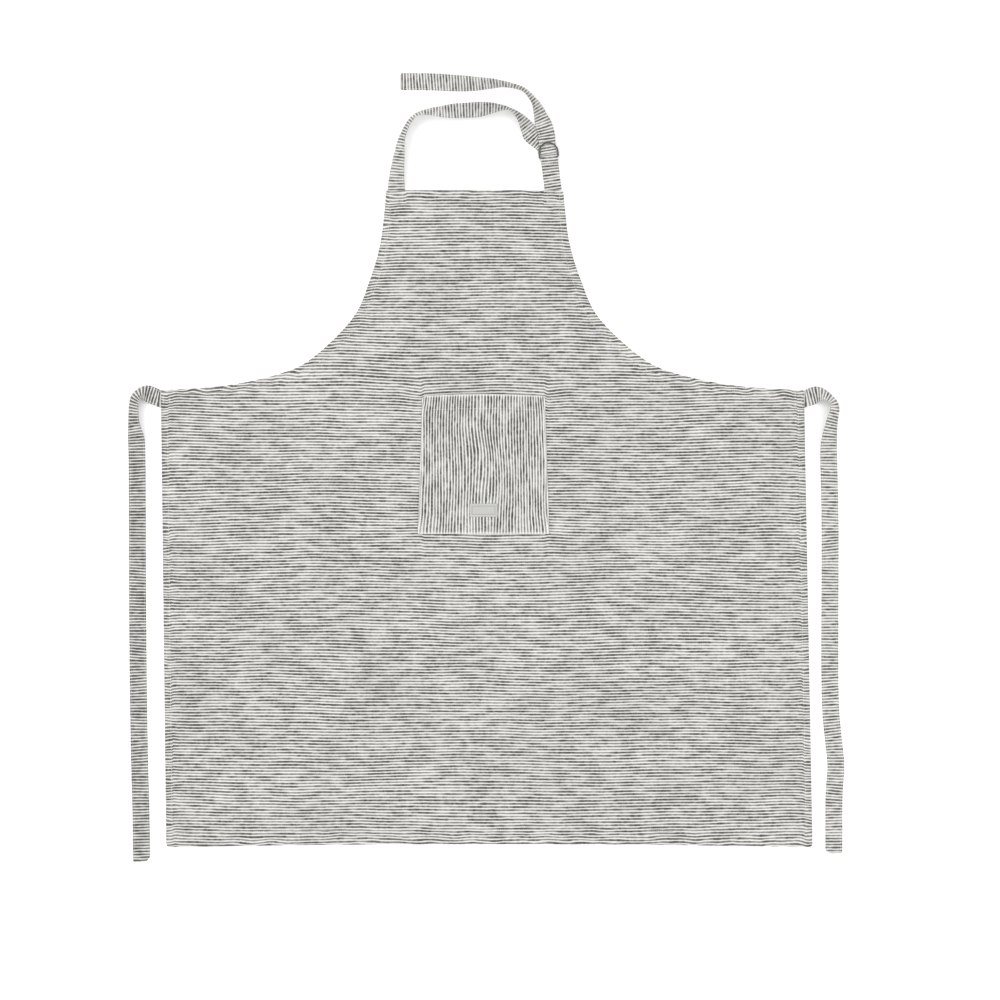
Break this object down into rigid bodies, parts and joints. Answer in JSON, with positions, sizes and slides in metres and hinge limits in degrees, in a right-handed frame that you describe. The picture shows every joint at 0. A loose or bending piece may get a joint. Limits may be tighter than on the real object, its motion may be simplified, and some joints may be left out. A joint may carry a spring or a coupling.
{
  "type": "bib apron",
  "caption": "Striped bib apron laid flat, with a front pocket, a neck strap adjusted by D-rings and a waist tie at each side.",
  "frame": {"origin": "middle of the underside's box, on the surface the apron lies on", "axes": "+X towards the rings' side of the bib, +Y from the skirt up to the bib and neck strap, +Z out of the apron's front"},
  "size_m": [0.9314, 1.0252, 0.0219],
  "materials": {
    "apron_cloth": "woven stripe, grey on off-white",
    "pocket_cloth": "woven stripe, turned upright",
    "strap_cloth": "woven stripe across the strap",
    "label_cloth": "fine plain weave, pale grey",
    "ring_steel": "drawn wire, dull",
    "sewing_thread": "matt cotton thread"
  },
  "bodies": {
    "apron": {"panel": "apron_cloth", "pocket": "pocket_cloth", "pocket_label": "label_cloth", "neck_strap_tab": "strap_cloth", "ring_strap_tab": "strap_cloth", "left_tie_tab": "strap_cloth", "right_tie_tab": "strap_cloth", "left_armhole_thread": "sewing_thread", "right_armhole_thread": "sewing_thread", "left_hem_thread": "sewing_thread", "right_hem_thread": "sewing_thread", "bib_hem_thread": "sewing_thread", "bottom_hem_thread": "sewing_thread", "neck_strap_thread": "sewing_thread", "ring_strap_thread": "sewing_thread", "left_tie_thread": "sewing_thread", "right_tie_thread": "sewing_thread", "pocket_edge_thread": "sewing_thread", "pocket_mouth_thread": "sewing_thread", "pocket_label_thread": "sewing_thread"},
    "neck_loop": {"neck_strap": "strap_cloth", "ring_strap": "strap_cloth", "back_ring": "ring_steel"},
    "front_ring": {"front_ring": "ring_steel"},
    "strap_tail": {"neck_strap_tail": "strap_cloth"},
    "left_tie": {"left_tie": "strap_cloth"},
    "right_tie": {"right_tie": "strap_cloth"}
  },
  "joints": [
    {"name": "neck_fold", "type": "hinge", "parent": "apron", "child": "neck_loop", "pos_m": [-0.0147, 0.36007, 0.003], "axis": [1, 0, 0], "range_deg": [0, 120]},
    {"name": "front_ring_lift", "type": "hinge", "parent": "neck_loop", "child": "front_ring", "pos_m": [0.08187, 0.40287, 0.0046], "axis": [0.992, 0.1262, 0], "range_deg": [0, 60]},
    {"name": "tail_fold", "type": "hinge", "parent": "neck_loop", "child": "strap_tail", "pos_m": [0.07877, 0.42718, 0.0046], "axis": [0.992, 0.1262, 0], "range_deg": [0, 60]},
    {"name": "left_tie_fold", "type": "hinge", "parent": "apron", "child": "left_tie", "pos_m": [-0.42236, 0.08862, 0.002], "axis": [0, 1, 0], "range_deg": [0, 120]},
    {"name": "right_tie_fold", "type": "hinge", "parent": "apron", "child": "right_tie", "pos_m": [0.41335, 0.08862, 0.002], "axis": [0, -1, 0], "range_deg": [0, 120]}
  ]
}
